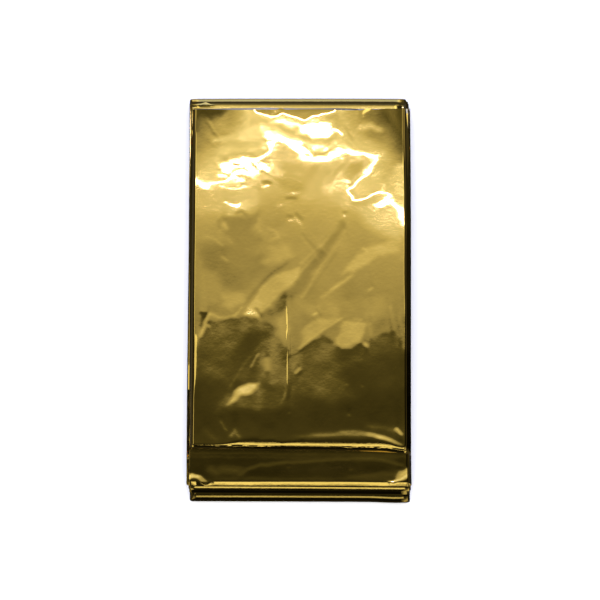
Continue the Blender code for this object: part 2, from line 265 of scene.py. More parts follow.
    Stroke(6.5, 0.28, 0.57, ((-30.8, -5.2), (-27.3, -6.6), (-23.8, -6.3), (-21.6, -4.9), (-20.2, -2.7))),
    Stroke(7, 0.43, 0.78, ((11.3, 3.6), (14.9, 6.1), (18.8, 9))),
    Stroke(4, 0.43, 0.92, ((8.2, 1.2), (11.3, 3.6))),
    Stroke(5, 0.21, 0.39, ((0.4, 12.9), (4.6, 16.8), (8.2, 19.9), (10.3, 22.1))),
    Stroke(4.5, 0.21, 0.39, ((0, 9.3), (3.5, 13.2), (6.7, 17.1))),
    Stroke(5, 0.21, 0.39, ((1.1, 1.2), (3.9, 5.8), (7.4, 11.4), (12.1, 18.2), (14.5, 21.4))),
    Stroke(-1.6, 0.21, 0.43, ((2.5, 0.8), (5.3, 5.1), (8.9, 10.4), (13.1, 16.8))),
    Stroke(4, 0.18, 0.39, ((0, 23.5), (3.2, 19.6), (6.7, 15))),
    Stroke(-1.8, 0.18, 0.39, ((1.1, 23.8), (4.3, 19.9), (7.8, 15.7))),
    Stroke(4, 0.18, 0.39, ((3.9, 24.2), (6.7, 20.6), (10.3, 16.4))),
    Stroke(5, 0.21, 0.43, ((11.3, 41.9), (13.8, 46.2), (17.4, 49.7))),
    Stroke(6.4, 0.21, 0.43, ((-0.7, 49.7), (0, 45.5), (0.4, 41.2))),
    Stroke(5, 0.21, 0.43, ((-13.1, 45.5), (-8.9, 43.3), (-3.9, 41.9))),
    Stroke(7, 0.71, 0.71, ((-26.6, 27), (-25.9, 25.3))),
    Stroke(-2.6, 0.35, 0.57, ((-28.4, 28.4), (-28.4, 25.3))),
    Stroke(6.8, 0.57, 0.64, ((-14.2, 28.8), (-13.8, 24.5))),
    Stroke(-2.6, 0.25, 0.43, ((-14.9, 30.9), (-15.2, 27))),
    Stroke(6.5, 0.35, 0.5, ((-11, 25.6), (-8.5, 24.5), (-7.4, 22.4), (-10.3, 21))),
    Stroke(9.5, 0.32, 0.35, ((-3.5, 28.4), (-2.5, 28.1))),
    Stroke(-2.5, 0.28, 0.43, ((-3.9, 29.9), (-2.5, 29.5))),
    Stroke(9.5, 0.32, 0.35, ((-1.4, 29.2), (0.4, 27))),
    Stroke(-2.6, 0.28, 0.43, ((-1.1, 30.6), (1.1, 28.4))),
    Stroke(10, 0.32, 0.35, ((16, 29.5), (16.7, 29.5))),
    Stroke(-3, 0.32, 0.43, ((16, 30.9), (16.7, 30.9))),
    Stroke(-2.8, 0.43, 0.57, ((16, 27.4), (16, 26))),
    Stroke(8, 0.28, 0.35, ((22.7, 18.5), (24.5, 17.5))),
    Stroke(7.5, 0.32, 0.43, ((24.8, 3.6), (25.9, 4.3))),
    Stroke(-3, 0.28, 0.43, ((25.9, 5.8), (26.9, 4.7))),
    Stroke(9, 0.35, 0.5, ((36.7, 22.8), (36.9, 13.6))),
    Stroke(4.5, 0.35, 0.5, ((36.9, 13.6), (36.9, 2.9))),
    Stroke(-3.2, 0.32, 0.43, ((-12.4, 41.9), (-10.3, 41.6))),
    Stroke(10.5, 0.32, 0.43, ((-13.1, 40.1), (-10.6, 40.9))),
    Stroke(10, 0.35, 0.43, ((-2.8, 38), (-0.7, 37.7))),
    Stroke(-2.5, 0.35, 0.43, ((-4.3, 36.2), (-1.4, 35.9))),
    Stroke(9, 0.32, 0.43, ((-7.4, 33.4), (-5.7, 33.8))),
    Stroke(9, 0.25, 0.35, ((-25.5, 30.2), (-23.4, 29.9))),
    Stroke(-2.4, 0.28, 0.43, ((-22.3, 30.9), (-20.2, 31.3), (-18.8, 29.9))),
    Stroke(5.5, 0.28, 0.43, ((-27.3, 15), (-25.5, 13.6))),
    Stroke(6, 0.25, 0.39, ((-33.3, 22.4), (-30.1, 21.4), (-27.3, 19.2))),
    # edge of the dark lower half
    Patch(-6.2, 0.5, ((-42.2, -35.4), (-35.4, -15.9), (-34, -9.8), (-32.6, -7), (-27.3, -7.4), (-22.3, -6.6),
        (-18.8, -5.9), (-14.9, -6.6), (-12.4, -7.4), (-8.9, -9.5), (-8.2, -15.9), (-11, -18.3),
        (-11.7, -24.7), (-7.4, -32.5), (-3.5, -36.1), (-2.8, -21.2), (0.4, -17.6), (4.6, -14.4), (9.2, -12.3),
        (13.8, -14.1), (14.9, -16.2), (18.8, -16.6), (22.3, -14.4), (23.8, -16.6), (25.9, -13.4),
        (28.7, -11.3), (33, -10.5), (34.7, -14.8), (36.2, -21.2), (36.2, -35.4), (42.9, -35.4), (42.9, -54.9),
        (-42.2, -54.9))),
    Patch(-9, 3.19, ((-42.2, -29.7), (-24.5, -28.3), (-13.1, -32.5), (-3.2, -34.7), (11, -31.8), (16, -25.4),
        (23.8, -21.2), (42.9, -18.3), (42.9, -56.6), (-42.2, -56.6))),
    Patch(-11.5, 3.19, ((-42.2, -35.4), (0.4, -38.9), (21.6, -33.9), (42.9, -28.3), (42.9, -45.3),
        (14.5, -46), (-17.4, -45.3), (-42.2, -49.5))),
    Patch(-5, 1.77, ((-32.3, -7.7), (-22.3, -7.4), (-17.4, -8.4), (-18.8, -13.4), (-23.8, -17.6),
        (-29.4, -18.3), (-32.3, -14.8))),
    Patch(-4.6, 1.42, ((-16, -7), (-11, -7.7), (-7.4, -10.5), (-9.6, -13.4), (-15.2, -12.7))),
    Patch(-6.8, 1.42, ((-17.4, -10.5), (-11.7, -11.3), (-13.1, -18.3), (-19.5, -25.4), (-25.9, -30.4),
        (-27.3, -26.9), (-22.3, -17.6))),
    Patch(-4.6, 2.13, ((0.4, -18.3), (9.2, -13.4), (13.8, -15.5), (11, -21.9), (3.9, -23.3))),
    Patch(-5, 2.84, ((-2.5, -21.9), (8.2, -23.3), (16.3, -27.6), (18.8, -33.9), (12.8, -36.1), (4.6, -33.2),
        (-1.1, -29.7))),
    Patch(5.2, 1.06, ((-7.8, -7.7), (-3.5, -3.5), (-3.2, -17.6), (-5, -19.1), (-6.7, -15.9))),
    Patch(-2.9, 1.42, ((-12.4, -14.1), (-6.7, -13.4), (-3.5, -18.3), (-3.9, -33.2), (-6.7, -32.5),
        (-12.4, -29), (-13.1, -23.3))),
    Stroke(-3.4, 1.77, 1.77, ((-3.9, -18.3), (0.4, -19.8), (-2.5, -23.3))),
    Patch(-4.7, 1.77, ((-20.9, -31.8), (-2.5, -30.4), (-2.5, -38.2), (-17.4, -39.6), (-29.4, -38.9),
        (-28, -35.4))),
    Patch(4.4, 0.85, ((1.4, -10.5), (6.7, -6.3), (13.8, -6.3), (8.2, -11.6), (1.1, -16.2))),
    Patch(5.6, 0.64, ((15.2, -6.6), (23.8, -7.4), (23, -11.3), (22, -14.4), (18.8, -15.9), (15.2, -16.2),
        (13.5, -14.8), (14.5, -9.8))),
    Patch(-1.5, 0.71, ((10.3, -9.8), (13.8, -7.7), (13.8, -13.4), (11, -13))),
    Patch(-2.6, 1.06, ((25.9, -7.7), (30.8, -6.3), (31.6, -10.5), (27.3, -12))),
    Stroke(7.5, 0.28, 0.46, ((15.2, -5.9), (11, -9.1), (7.4, -11.6), (3.9, -14.1), (0.4, -16.9))),
    Stroke(-7, 0.21, 0.35, ((4.6, -15.2), (1.4, -17.6), (-1.8, -19.4), (-5.3, -20.5))),
    Stroke(6, 0.71, 0.78, ((-11.3, -21.2), (-11, -24.4))),
    Stroke(3.5, 0.25, 0.43, ((-14.5, -19.1), (-16, -21.9), (-16.7, -24))),
    Stroke(6.5, 0.32, 0.5, ((25.2, -7.7), (25.5, -12))),
    Stroke(9, 0.43, 0.43, ((23.4, -15.2), (24.1, -15.9))),
    Stroke(-8, 0.32, 0.35, ((22, -15.5), (23.4, -16.9))),
    Stroke(8.5, 0.43, 0.43, ((5.3, -5.2), (6.4, -4.5))),
    Stroke(-3.5, 0.28, 0.35, ((6.4, -3.1), (7.8, -5.6))),
    Stroke(7.5, 0.28, 0.35, ((19.5, -6.3), (22.3, -6.6))),
    Stroke(9, 0.43, 0.5, ((-18.8, -5.2), (-15.2, -4.5), (-14.2, -5.9))),
    Stroke(-6, 0.28, 0.35, ((-14.9, -3.1), (-12.8, -5.9))),
    Stroke(8, 0.28, 0.43, ((-1.1, -25.8), (0.4, -24.4))),
    Stroke(-10, 0.32, 0.35, ((0, -26.5), (1.1, -25.4))),
    # the notch beside the left margin
    Patch(-13, 0.28, ((-34.2, -4.7), (-32.3, -4.5), (-33.3, -7.7), (-35.1, -11.6), (-35.3, -10.2))),
    Stroke(9.5, 0.32, 0.39, ((-31.6, -4.9), (-32.6, -7.4), (-33.7, -10.2), (-34.7, -13))),
    Stroke(7, 0.28, 0.39, ((-33.3, -8.8), (-31.9, -9.5))),
    # dark half
    Patch(8.8, 0.53, ((-25.5, -37.5), (-24.1, -35.4), (-23, -33.2), (-20.9, -31.1), (-18.1, -30),
        (-14.2, -30), (-14.9, -31.8), (-17.4, -33.2), (-20.6, -34.3), (-22, -35.7), (-24.1, -36.8))),
    Stroke(-4, 0.39, 0.78, ((-24.8, -31.8), (-21.6, -26.1), (-18.1, -21.2), (-14.5, -16.9), (-11, -14.1))),
    Stroke(-1.5, 0.5, 0.64, ((-27.7, -43.2), (-25.9, -46.4))),
    Stroke(-1.8, 0.78, 0.85, ((-23.8, -48.5), (-22.7, -46.4), (-21.3, -48.8))),
    Stroke(-6, 1.06, 1.42, ((-33, -46.7), (-30.1, -49.5), (-28, -52.4))),
    Stroke(2, 0.25, 0.28, ((-3.9, -40.3), (-3.5, -40))),
    Stroke(3, 0.28, 0.28, ((17.7, -40.3), (18.1, -40.7))),
    Stroke(0, 0.25, 0.32, ((16.7, -29.7), (17, -30))),
    Stroke(0, 0.25, 0.32, ((22.3, -30), (22.7, -30.4))),
    Stroke(-2, 0.85, 1.24, ((-13.1, -49.9), (0.4, -48.8), (16.3, -47.1), (25.9, -47.4), (30.1, -48.8))),
    Stroke(-2, 0.35, 0.71, ((14.5, -46.4), (20.2, -46), (25.2, -46.7))),
    Stroke(9, 0.43, 0.71, ((24.5, -47.1), (28.7, -48.3))),
    Stroke(13.2, 0.46, 0.71, ((28.7, -48.5), (33, -49.7), (36.9, -51.1))),
    Stroke(-4.5, 0.89, 1.42, ((24.5, -44.2), (30.1, -44.9), (35.1, -46))),
    Stroke(11, 0.5, 0.43, ((34.7, -45.3), (36.2, -47.1))),
    # just before the fold
    Patch(-9.5, 0.43, ((-36.5, -49.8), (25.9, -49.8), (28.7, -50.6), (42.9, -51.7), (42.9, -55.9),
        (-36.5, -55.9))),
    Stroke(11.5, 0.57, 0.78, ((28, -48.1), (32.3, -49.5), (36.5, -51.1))),
    # the film's own edge
    Stroke(-1.5, 0.57, 0.92, ((-14.5, 68), (-13.1, 67.8), (0.4, 67.8), (11, 68.2), (13.1, 68.5))),
    Stroke(29, 0.21, 0.28, ((-10.8, 68.2), (-10.1, 67.9))),
    Stroke(29, 0.21, 0.28, ((-8, 68), (-7.3, 68.3))),
    Stroke(12, 0.18, 0.25, ((-9.2, 68), (-8.9, 67.7))),
    Stroke(10, 0.32, 0.35, ((-8.9, 66.9), (-7.4, 67.1))),
    Stroke(29, 0.28, 0.28, ((20.2, 67.7), (20.8, 67.9))),
    Stroke(29, 0.28, 0.28, ((22.2, 67.9), (22.9, 68.2))),
    Stroke(10.5, 0.35, 0.35, ((23.3, 66.9), (25.7, 68.3))),
]
SIDE_LEANS = [  # the same for how it leans to the side: above 0 towards +X
    # the left end of the fold
    Patch(-8, 2.84, ((-42.2, -45.3), (-29.4, -45.3), (-28.7, -55.2), (-42.2, -55.2))),
    # the long crease down the middle
    Stroke(-32, 0.42, 0.28, ((-4.1, -1.3), (-4.2, -12))),
    Stroke(-35, 0.42, 0.26, ((-4.2, -12), (-4, -21.9), (-4.3, -28.3), (-4.5, -33.2), (-5.8, -35.4))),
    Stroke(20, 0.45, 0.3, ((-2.9, -1.3), (-3.1, -12), (-2.9, -21.9), (-3.2, -28.3), (-3.3, -33.9),
        (-4.8, -36.1))),
    # short upright creases at the right
    Stroke(-30, 0.35, 0.21, ((31.9, -3.1), (32.3, -9.8))),
    Stroke(14, 0.43, 0.35, ((32.9, -3.1), (33.3, -9.8))),
    Stroke(-30, 0.35, 0.21, ((35.1, -6.3), (35.1, -14.8))),
    Stroke(14, 0.43, 0.35, ((36.2, -6.3), (36.2, -14.8))),
    # left margin
    Patch(-36, 0.32, ((-36.4, -12), (-34.8, -12.7), (-35.1, -15.9), (-35.5, -21.9), (-36.4, -29.7),
        (-37.6, -35.4), (-39.3, -35.4), (-38.3, -21.9))),
    Stroke(18, 0.21, 0.28, ((-34.2, 11.4), (-33.5, 4.3), (-33.5, -2))),
]
OVERHANG_LEANS = [  # the same for the second layer, where it reaches out from under the top one
    # bands beside the fold above
    Stroke(-8.5, 0.28, 0.43, ((-42.3, -54.3), (-13.9, -54.7), (14.6, -54.7), (40.2, -55.4))),
    Stroke(-9.5, 0.25, 0.36, ((-42.3, -55.7), (-13.9, -56.1), (11, -55.7), (35.9, -56.1))),
    # the long faint arch
    Stroke(-4.8, 0.43, 0.71, ((-21, -62.5), (-18.1, -60.3), (-13.9, -58.9), (-6.8, -57.9), (0.4, -57.3),
        (9.2, -56.8), (18.1, -56.4), (26, -56.4), (31.6, -57.1), (36.6, -58.6))),
    Stroke(-18.5, 0.85, 1.24, ((-17.4, -61.8), (0.4, -60.3), (18.1, -59.3), (30.2, -60))),
    Stroke(-19.5, 0.43, 0.89, ((-42.3, -53.2), (40.2, -53.2))),
    Stroke(-11, 0.43, 0.89, ((-29.9, -63.7), (32.4, -63.5))),
    # lighter patches near the fold
    Stroke(-4, 0.89, 1.78, ((-31.3, -60.3), (-29.5, -61.4))),
    Stroke(-7, 1.07, 1.78, ((-27.4, -60.3), (-21, -60.7))),
    Stroke(-7, 0.57, 1.42, ((18.8, -62.8), (35.2, -61.8))),
    Patch(7, 0.71, ((31.6, -63.9), (34.5, -62.5), (37.3, -60), (40.2, -57.5), (42.3, -57.5), (42.3, -63.9))),
    Stroke(14, 0.25, 0.28, ((32.4, -64.3), (35.9, -63.7), (38.7, -62.1))),
    Stroke(2, 0.25, 0.28, ((-3.9, -59.6), (-3.6, -59.6))),
    Stroke(4, 0.32, 0.32, ((18.5, -60), (19, -60))),
    # the crumple at the left corner
    Stroke(10.5, 0.82, 0.5, ((-39.8, -63.5), (-38, -62.5), (-35.9, -63), (-34.1, -64.3), (-33.1, -65.3))),
    Stroke(3, 0.57, 0.57, ((-34.8, -63.5), (-33.4, -65))),
]
OVERHANG_SIDES = [  # and how that leans to the side
    # the left end of the fold
    Patch(-8, 2.84, ((-42.3, -45.4), (-29.5, -45.4), (-28.8, -55.4), (-42.3, -55.4))),
    Patch(22, 0.71, ((38.7, -56.1), (42.3, -56.1), (42.3, -66), (39.5, -66))),
    Stroke(-30, 0.43, 0.5, ((-39.1, -62.8), (-39.1, -65.3))),
    Stroke(30, 0.5, 0.57, ((-37.7, -63.2), (-37.3, -65.3))),
]
WANDERS = [(5.0, 0.45, 21), (1.8, 0.28, 22)]  # the outlines waver: spacing, distance, seed
STROKE_WANDER = 0.35  # how much of that a stroke takes
CRINKLES = [(6.0, 0.6, 31), (2.2, 0.5, 32), (1.0, 0.3, 33)]  # added everywhere: spacing, lean, seed
CALM_BACK, CALM_BACK_FROM, CALM_BACK_RUN = 0.55, -5, 20  # the share that they lose towards the back
Calm = namedtuple("Calm", "share x y half_width half_length")
CALMS = [
    Calm(share=0.7, x=0, y=-50.5, half_width=inf, half_length=4),  # before the top fold
    Calm(share=0.55, x=-1, y=-24, half_width=22, half_length=14),  # around the long crease
]


def ease(share):
    """0 to 1 with a soft start and end."""
    share = np.clip(share, 0, 1)
    return share * share * (3 - 2 * share)


def uneven(x, y, spacing, seed):
    """Smooth unevenness: random values on a grid of this spacing, joined softly."""
    rng = np.random.default_rng(seed)
    across, along = (x + 60) / spacing, (y + 80) / spacing
    values = rng.normal(0, 1, (int(160 / spacing) + 3, int(120 / spacing) + 3))
    i, j = along.astype(int), across.astype(int)
    v, u = ease(along - i), ease(across - j)
    low = values[i, j] * (1 - u) + values[i, j + 1] * u
    high = values[i + 1, j] * (1 - u) + values[i + 1, j + 1] * u
    return low * (1 - v) + high * v


def away_from(x, y, path):
    """Distance to the nearest point of a path of straight stretches."""
    nearest = np.full(x.shape, inf)
    for (x0, y0), (x1, y1) in zip(path, path[1:]):
        run = (x1 - x0) ** 2 + (y1 - y0) ** 2
        share = np.clip(((x - x0) * (x1 - x0) + (y - y0) * (y1 - y0)) / run, 0, 1)
        nearest = np.minimum(nearest, np.hypot(x - x0 - share * (x1 - x0), y - y0 - share * (y1 - y0)))
    return nearest


def inside(x, y, outline):
    """Which points lie inside a closed outline."""
    found = np.zeros(x.shape, bool)
    for (x0, y0), (x1, y1) in zip(outline, outline[1:]):
        if y0 != y1:
            found ^= ((y0 > y) != (y1 > y)) & (x < (x1 - x0) * (y - y0) / (y1 - y0) + x0)
    return found


def painted(lean, rows, x, y):
    """The lean with the rows' patches and strokes laid over it in turn."""
    patch_x, patch_y = x, y
    for spacing, distance, seed in WANDERS:
        patch_x = patch_x + distance * uneven(x, y, spacing, seed)
        patch_y = patch_y + distance * uneven(x, y, spacing, seed + 50)
    stroke_x, stroke_y = x + (patch_x - x) * STROKE_WANDER, y + (patch_y - y) * STROKE_WANDER
    for row in rows:
        if isinstance(row, Patch):
            outline = row.outline + row.outline[:1]
            depth = away_from(patch_x, patch_y, outline)
            depth = depth * np.where(inside(patch_x, patch_y, outline), 1, -1)
            share = ease(0.5 + depth / (2 * row.soft))
        else:
            away = away_from(stroke_x, stroke_y, row.path)
            share = ease((row.width + row.soft - away) / (2 * row.soft))
        lean = lean + (row.lean - lean) * share
    return lean


def top_lean(x, y):
    """How far the top film leans at each point, in degrees."""
    side = np.abs(x / ADDED_AT) ** ADDED_POWER
    added = np.where(x < 0, np.interp(y, *zip(*LEFT_LEAN)), np.interp(y, *zip(*RIGHT_LEAN)))
    return painted(np.interp(y, *zip(*MIDDLE_LEAN)) + added * side, LEANS, x, y)


def crinkled(lean, x, y):
    """The lean with the film's fine crinkles, fainter where it is pulled smooth."""
    calmer = 1 - CALM_BACK * ease((y - CALM_BACK_FROM) / CALM_BACK_RUN)
    for calm in CALMS:
        near_x, near_y = np.abs(x - calm.x) / calm.half_width, np.abs(y - calm.y) / calm.half_length
        calmer = calmer - calm.share * ease(1 - near_x) * ease(1 - near_y)
    return lean + calmer * sum(amount * uneven(x, y, spacing, seed) for spacing, amount, seed in CRINKLES)


def heights_of(lean, side_lean, along_y, stiffness):
    """The film's height over a field: its slopes are as near as can be to those of the leans."""
    along = np.tan(np.radians((lean - np.degrees(along_y / SEEN_FROM)) / 2))
    across = np.tan(np.radians(side_lean / 2))
    # the field is mirrored past its borders, so that it repeats without a step
    along = np.concatenate([along, -along[::-1]], axis=0)
    across = np.concatenate([across, across[::-1]], axis=0)
    along = np.concatenate([along, along[:, ::-1]], axis=1)
    across = np.concatenate([across, -across[:, ::-1]], axis=1)
    # then each of its waves takes the height that fits both slopes best
    wave_y = 2 * pi * np.fft.fftfreq(along.shape[0], FIELD_STEP)[:, None]
    wave_x = 2 * pi * np.fft.fftfreq(along.shape[1], FIELD_STEP)[None, :]
    pull = 1j * (wave_y * np.fft.fft2(along) + stiffness * wave_x * np.fft.fft2(across))
    pull = pull / (wave_y**2 + stiffness * wave_x**2 + 1e-9)
    pull[0, 0] = 0
    return np.real(np.fft.ifft2(pull))[: lean.shape[0], : lean.shape[1]]


def top_heights():
    """The top film's height over its field."""
    x, y = np.meshgrid(FIELD_X, FIELD_Y)
    return heights_of(crinkled(top_lean(x, y), x, y), painted(0 * x, SIDE_LEANS, x, y), y, SIDE_STIFFNESS)


def overhang_heights():
    """The same for the film that reaches out from under it."""
    x, y = np.meshgrid(FIELD_X, OVERHANG_Y)
    lean = painted(OVERHANG_LEAN + 0 * x, OVERHANG_LEANS, x, y)
    return heights_of(crinkled(lean, x, y), painted(0 * x, OVERHANG_SIDES, x, y), y, OVERHANG_STIFFNESS)


def smooth_weights(share):
    """How much each of four neighbours counts, for a point this far between the middle two."""
    return (
        (-share + 2 * share**2 - share**3) / 2,
        (2 - 5 * share**2 + 3 * share**3) / 2,
        (share + 4 * share**2 - 3 * share**3) / 2,
        (-(share**2) + share**3) / 2,
    )


def read_field(field, x, y, low_y=FIELD_Y[0]):
    """The field's value at any point, curved smoothly between its grid points."""
    across = np.clip((x - FIELD_X[0]) / FIELD_STEP, 1, len(FIELD_X) - 3.001)
    along = np.clip((y - low_y) / FIELD_STEP, 1, len(field) - 3.001)
    j, i = across.astype(int), along.astype(int)
    total = np.zeros(x.shape)
    for row, row_weight in enumerate(smooth_weights(along - i)):
        for column, weight in enumerate(smooth_weights(across - j)):
            total += row_weight * weight * field[i + row - 1, j + column - 1]
    return total


# ---- the pleated film ----
LEAST_CLEAR = 0.35  # how close the top film comes to the pleats under it
OVERHANG_PANEL = 2  # the layer that reaches out from under the top one
OVERHANG_CLEAR = 0.25  # as the one above, for the overhanging film
OVERHANG_RISE = 0.5  # how high that film stands over the middle of its fold
OVERHANG_FROM, OVERHANG_RUN = 0.5, 3  # it starts to lean this far behind the top fold, over this length

Nose = namedtuple("Nose", "length drop roundness")
NOSES = {  # how a fold's outermost film curves down to its end: from how far back, and how far down
    1: Nose(5.3, 0.99, 2.0),
    2: Nose(5.0, 0.2, 2.0),
    3: Nose(1.45, 0.165, 1.1),
    4: Nose(1.3, 1.15, 1.05),
    5: Nose(1.5, 0.325, 1.3),
    6: Nose(5.0, 1.0, 2.0),
    7: Nose(3.0, 1.15, 1.1),
    9: Nose(3.6, 1.2, 2.0),
}
ROUND_NOSE = Nose(1.15, 1.15, 2.0)  # the other folds
NOSE_CHANGES = {  # fold: how far it is changed at u across, and what that adds to its length and drop
    1: (lambda u: ease((-0.38 - u) / 0.4), -3.55, 0.2),  # sharper towards the left
    2: (lambda u: ease(1 - np.abs(u + 0.885) / 0.07), -0.6, 1.0),  # crumpled near its left end
}
BULGES = {  # fold: (where across, how wide, how far it stands out there)
    1: [(1.0, 0.3, 0.9), (-0.3, 0.5, 0.1)],
    2: [(-0.885, 0.055, 1.0)],
    3: [(0.2, 0.9, -0.1)],
    9: [(0.9, 0.3, 0.3)],
}
CUT_OVERHANG = 0.4  # how far the top film's cut edge stands out past the pleats on the right
SIDE_BEVELS = {  # height that the top film loses towards a side edge: (distance from the edge, height)
    "left": ((0, -1.6), (0.5, -0.12), (0.9, 0.0), (4.0, 0.0)),
    "right": ((0, -2.0), (2.1, 0.0), (2.8, 0.0), (6.0, 0.0)),
}
EDGE_EASE = 0.2  # how rounded those edges are
RIGHT_FACET = 0.15  # how much more it loses in a shallow facet beside the right one
FACET_WIDTH, FACET_FADE = 2.0, 0.8
FACET_FROM, FACET_RUN = -4, 14  # where along the film the facet sets in, and over what length
ROUNDED_SIDE = (1.4, 0.6)  # how far in from its side edges a lower layer's film curves, and how far down
ROUNDED_LEFT_FROM, ROUNDED_LEFT_RUN = 58, 6  # on the left it does so only near the back
ROUNDED_EDGE, EDGE_THINNING = 0.6, 0.3  # how far in from its side edges the bundle thins, and by what share
EDGE_INSET = 0.7  # how much further in the outermost pleats end
EDGE_WANDER = (0.12, 0.08)  # how unevenly the pleats' edges lie
END_FADE = 12  # how soon the top panel takes up the unevenness of its free end
ENDS_FROM, ENDS_SLOPE = 65.8, 0.15  # where the pleats under the cut edge start to slope on their own
STEEPER_SLOPE, STEEPER_FROM, STEEPER_RUN = 0.22, 0.45, 0.3  # and how much more towards the right
END_STAGGER = 0.75  # how unevenly the pleats end at the strip's free end
END_WAVES = [(0.12, 5, 1), (0.08, 13, 0)]  # how the top film's own end wavers: height, turns, start
END_DENTS = [(-0.19, 0.05), (0.61, 0.08)]  # where it is dented, and how widely
END_DENT_DEPTH = 0.6
END_LONGER, LONGER_FROM, LONGER_RUN = 0.9, 0.6, 0.2  # how much further it reaches at the right


def ply_offset(ply):
    """How far a pleat lies from the middle of the strip's thickness, in the top layer upwards."""
    return ((PLIES - 1) / 2 - ply) * PLY_STEP


OUTER = ply_offset(0)
TOP_HEIGHTS = top_heights()
OVERHANG_HEIGHTS = overhang_heights()


def edge_wander(ply, place, side):
    """How far one pleat's edge lies in or out along the strip."""
    turn = 1.9 * place + 2.4 * ply + 1.3 * side
    return EDGE_WANDER[0] * np.sin(turn) + EDGE_WANDER[1] * np.sin(2.7 * turn + ply)


def edge_inset(ply, place):
    """The strip's long edges are rounded: its outer pleats end further in, but for the one on top."""
    share = 2 * ply / (PLIES - 1) - 1
    inset = EDGE_INSET * (1 - (1 - min(1, share**2)) ** 0.5)
    return inset * np.clip(place - 1, 0, 1) if ply == 0 else inset + 0 * place


def sides(ply, place):
    """Left and right edge of one pleat at this place along the strip, 0 to PANELS."""
    left = np.interp(place, np.arange(PANELS + 1), LEFT)
    right = np.interp(place, np.arange(PANELS + 1), RIGHT)
    inset = edge_inset(ply, place)
    return left + inset + edge_wander(ply, place, 0), right - inset - edge_wander(ply, place, 1)


def bevel(distance, side, facet=0):
    """The height lost at this distance from a side edge, with its corners eased."""
    places, heights = zip(*SIDE_BEVELS[side])
    spread = np.linspace(-EDGE_EASE, EDGE_EASE, 7)
    lost = sum(np.interp(distance + shift, places, heights) for shift in spread) / len(spread)
    return lost + facet * (1 - ease((distance - FACET_WIDTH) / FACET_FADE))


def top_sides(x, y, left, right):
    """What the top film loses at both sides. On the right a shallow facet leads to that in the far half."""
    facet = -RIGHT_FACET * ease((y - FACET_FROM) / FACET_RUN)
    return bevel(x - left, "left") + bevel(right + CUT_OVERHANG - x, "right", facet)


def rounded_side(distance):
    """The height a lower layer's film has lost at this distance from its side edge."""
    length, drop = ROUNDED_SIDE
    return drop * (1 - np.sqrt(1 - np.clip(1 - distance / length, 0, 1) ** 2))


def top_surface(x, y):
    """Height of the top film anywhere but at its sides."""
    return read_field(TOP_HEIGHTS, x, y) + TOP_LIFT


def lift_of_top():
    """What puts the creased film just over the pleats of the panel on top, away from its edges."""
    u, y = np.meshgrid(np.linspace(-0.9, 0.9, 60), np.linspace(REACH[1] + 8, REACH[0] - 3, 120))
    x = (LEFT[0] + RIGHT[0]) / 2 + u * (RIGHT[0] - LEFT[0]) / 2
    gap = read_field(TOP_HEIGHTS, x, y) - level(0, u, y) - OUTER
    return LEAST_CLEAR - np.percentile(gap, 2)


TOP_LIFT = lift_of_top()


def overhang_end():
    """The second layer's painted height at its fold, on average."""
    x = np.linspace(-34, 34, 40)
    return read_field(OVERHANG_HEIGHTS, x, straight_run(OVERHANG_PANEL + 1) + 0 * x, OVERHANG_Y[0]).mean()


OVERHANG_END = overhang_end()


def fold_middle(fold, u):
    """Height of a fold's middle, and the radius of the middle of its bundle."""
    centre = straight_run(fold)
    above, below = level(fold - 1, u, centre), level(fold, u, centre)
    return (above + below) / 2, (above - below) / 2


def fold_place(fold, u):
    """Where a fold starts to turn, which bulges out in places."""
    out = sum(amount * ease(1 - np.abs(u - at) / width) for at, width, amount in BULGES.get(fold, []))
    return straight_run(fold) + way_along(fold) * out


def is_upper(panel, ply):
    """Whether this pleat is the uppermost of its layer."""
    return ply == (0 if panel % 2 == 0 else PLIES - 1)


def nose_drop(fold, distance, u):
    """How far a fold's outermost film has dropped at this distance from the fold's very end."""
    length, drop, roundness = NOSES.get(fold, ROUND_NOSE)
    if fold in NOSE_CHANGES:
        share_at, longer, lower = NOSE_CHANGES[fold]
        length, drop = length + longer * share_at(u), drop + lower * share_at(u)
    share = np.clip(1 - distance / length, 0, 1)
    return drop * (1 - (1 - share**roundness) ** (1 / roundness))


def overhang_film(x, y, regular):
    """The second layer's film, which leans towards its end where it reaches out from under the top panel."""
    surface = fold_middle(OVERHANG_PANEL + 1, 0 * x)[0] + OVERHANG_RISE - OVERHANG_END
    surface = surface + read_field(OVERHANG_HEIGHTS, x, y, OVERHANG_Y[0])
    share = ease((y - REACH[1] - OVERHANG_FROM) / OVERHANG_RUN)
    return regular + (1 - share) * (surface - regular)


def upper_film(panel, u, x, y, left, right):
    """Height of a layer's uppermost film, before it curves down to its fold."""
    if panel == 0:
        return top_surface(x, y) + top_sides(x, y, left, right)
    film = level(panel, u, y) + OUTER
    if panel == OVERHANG_PANEL:
        film = overhang_film(x, y, film)
    film = film - rounded_side(right - x)
    return film - rounded_side(x - left) * ease((y - ROUNDED_LEFT_FROM) / ROUNDED_LEFT_RUN)


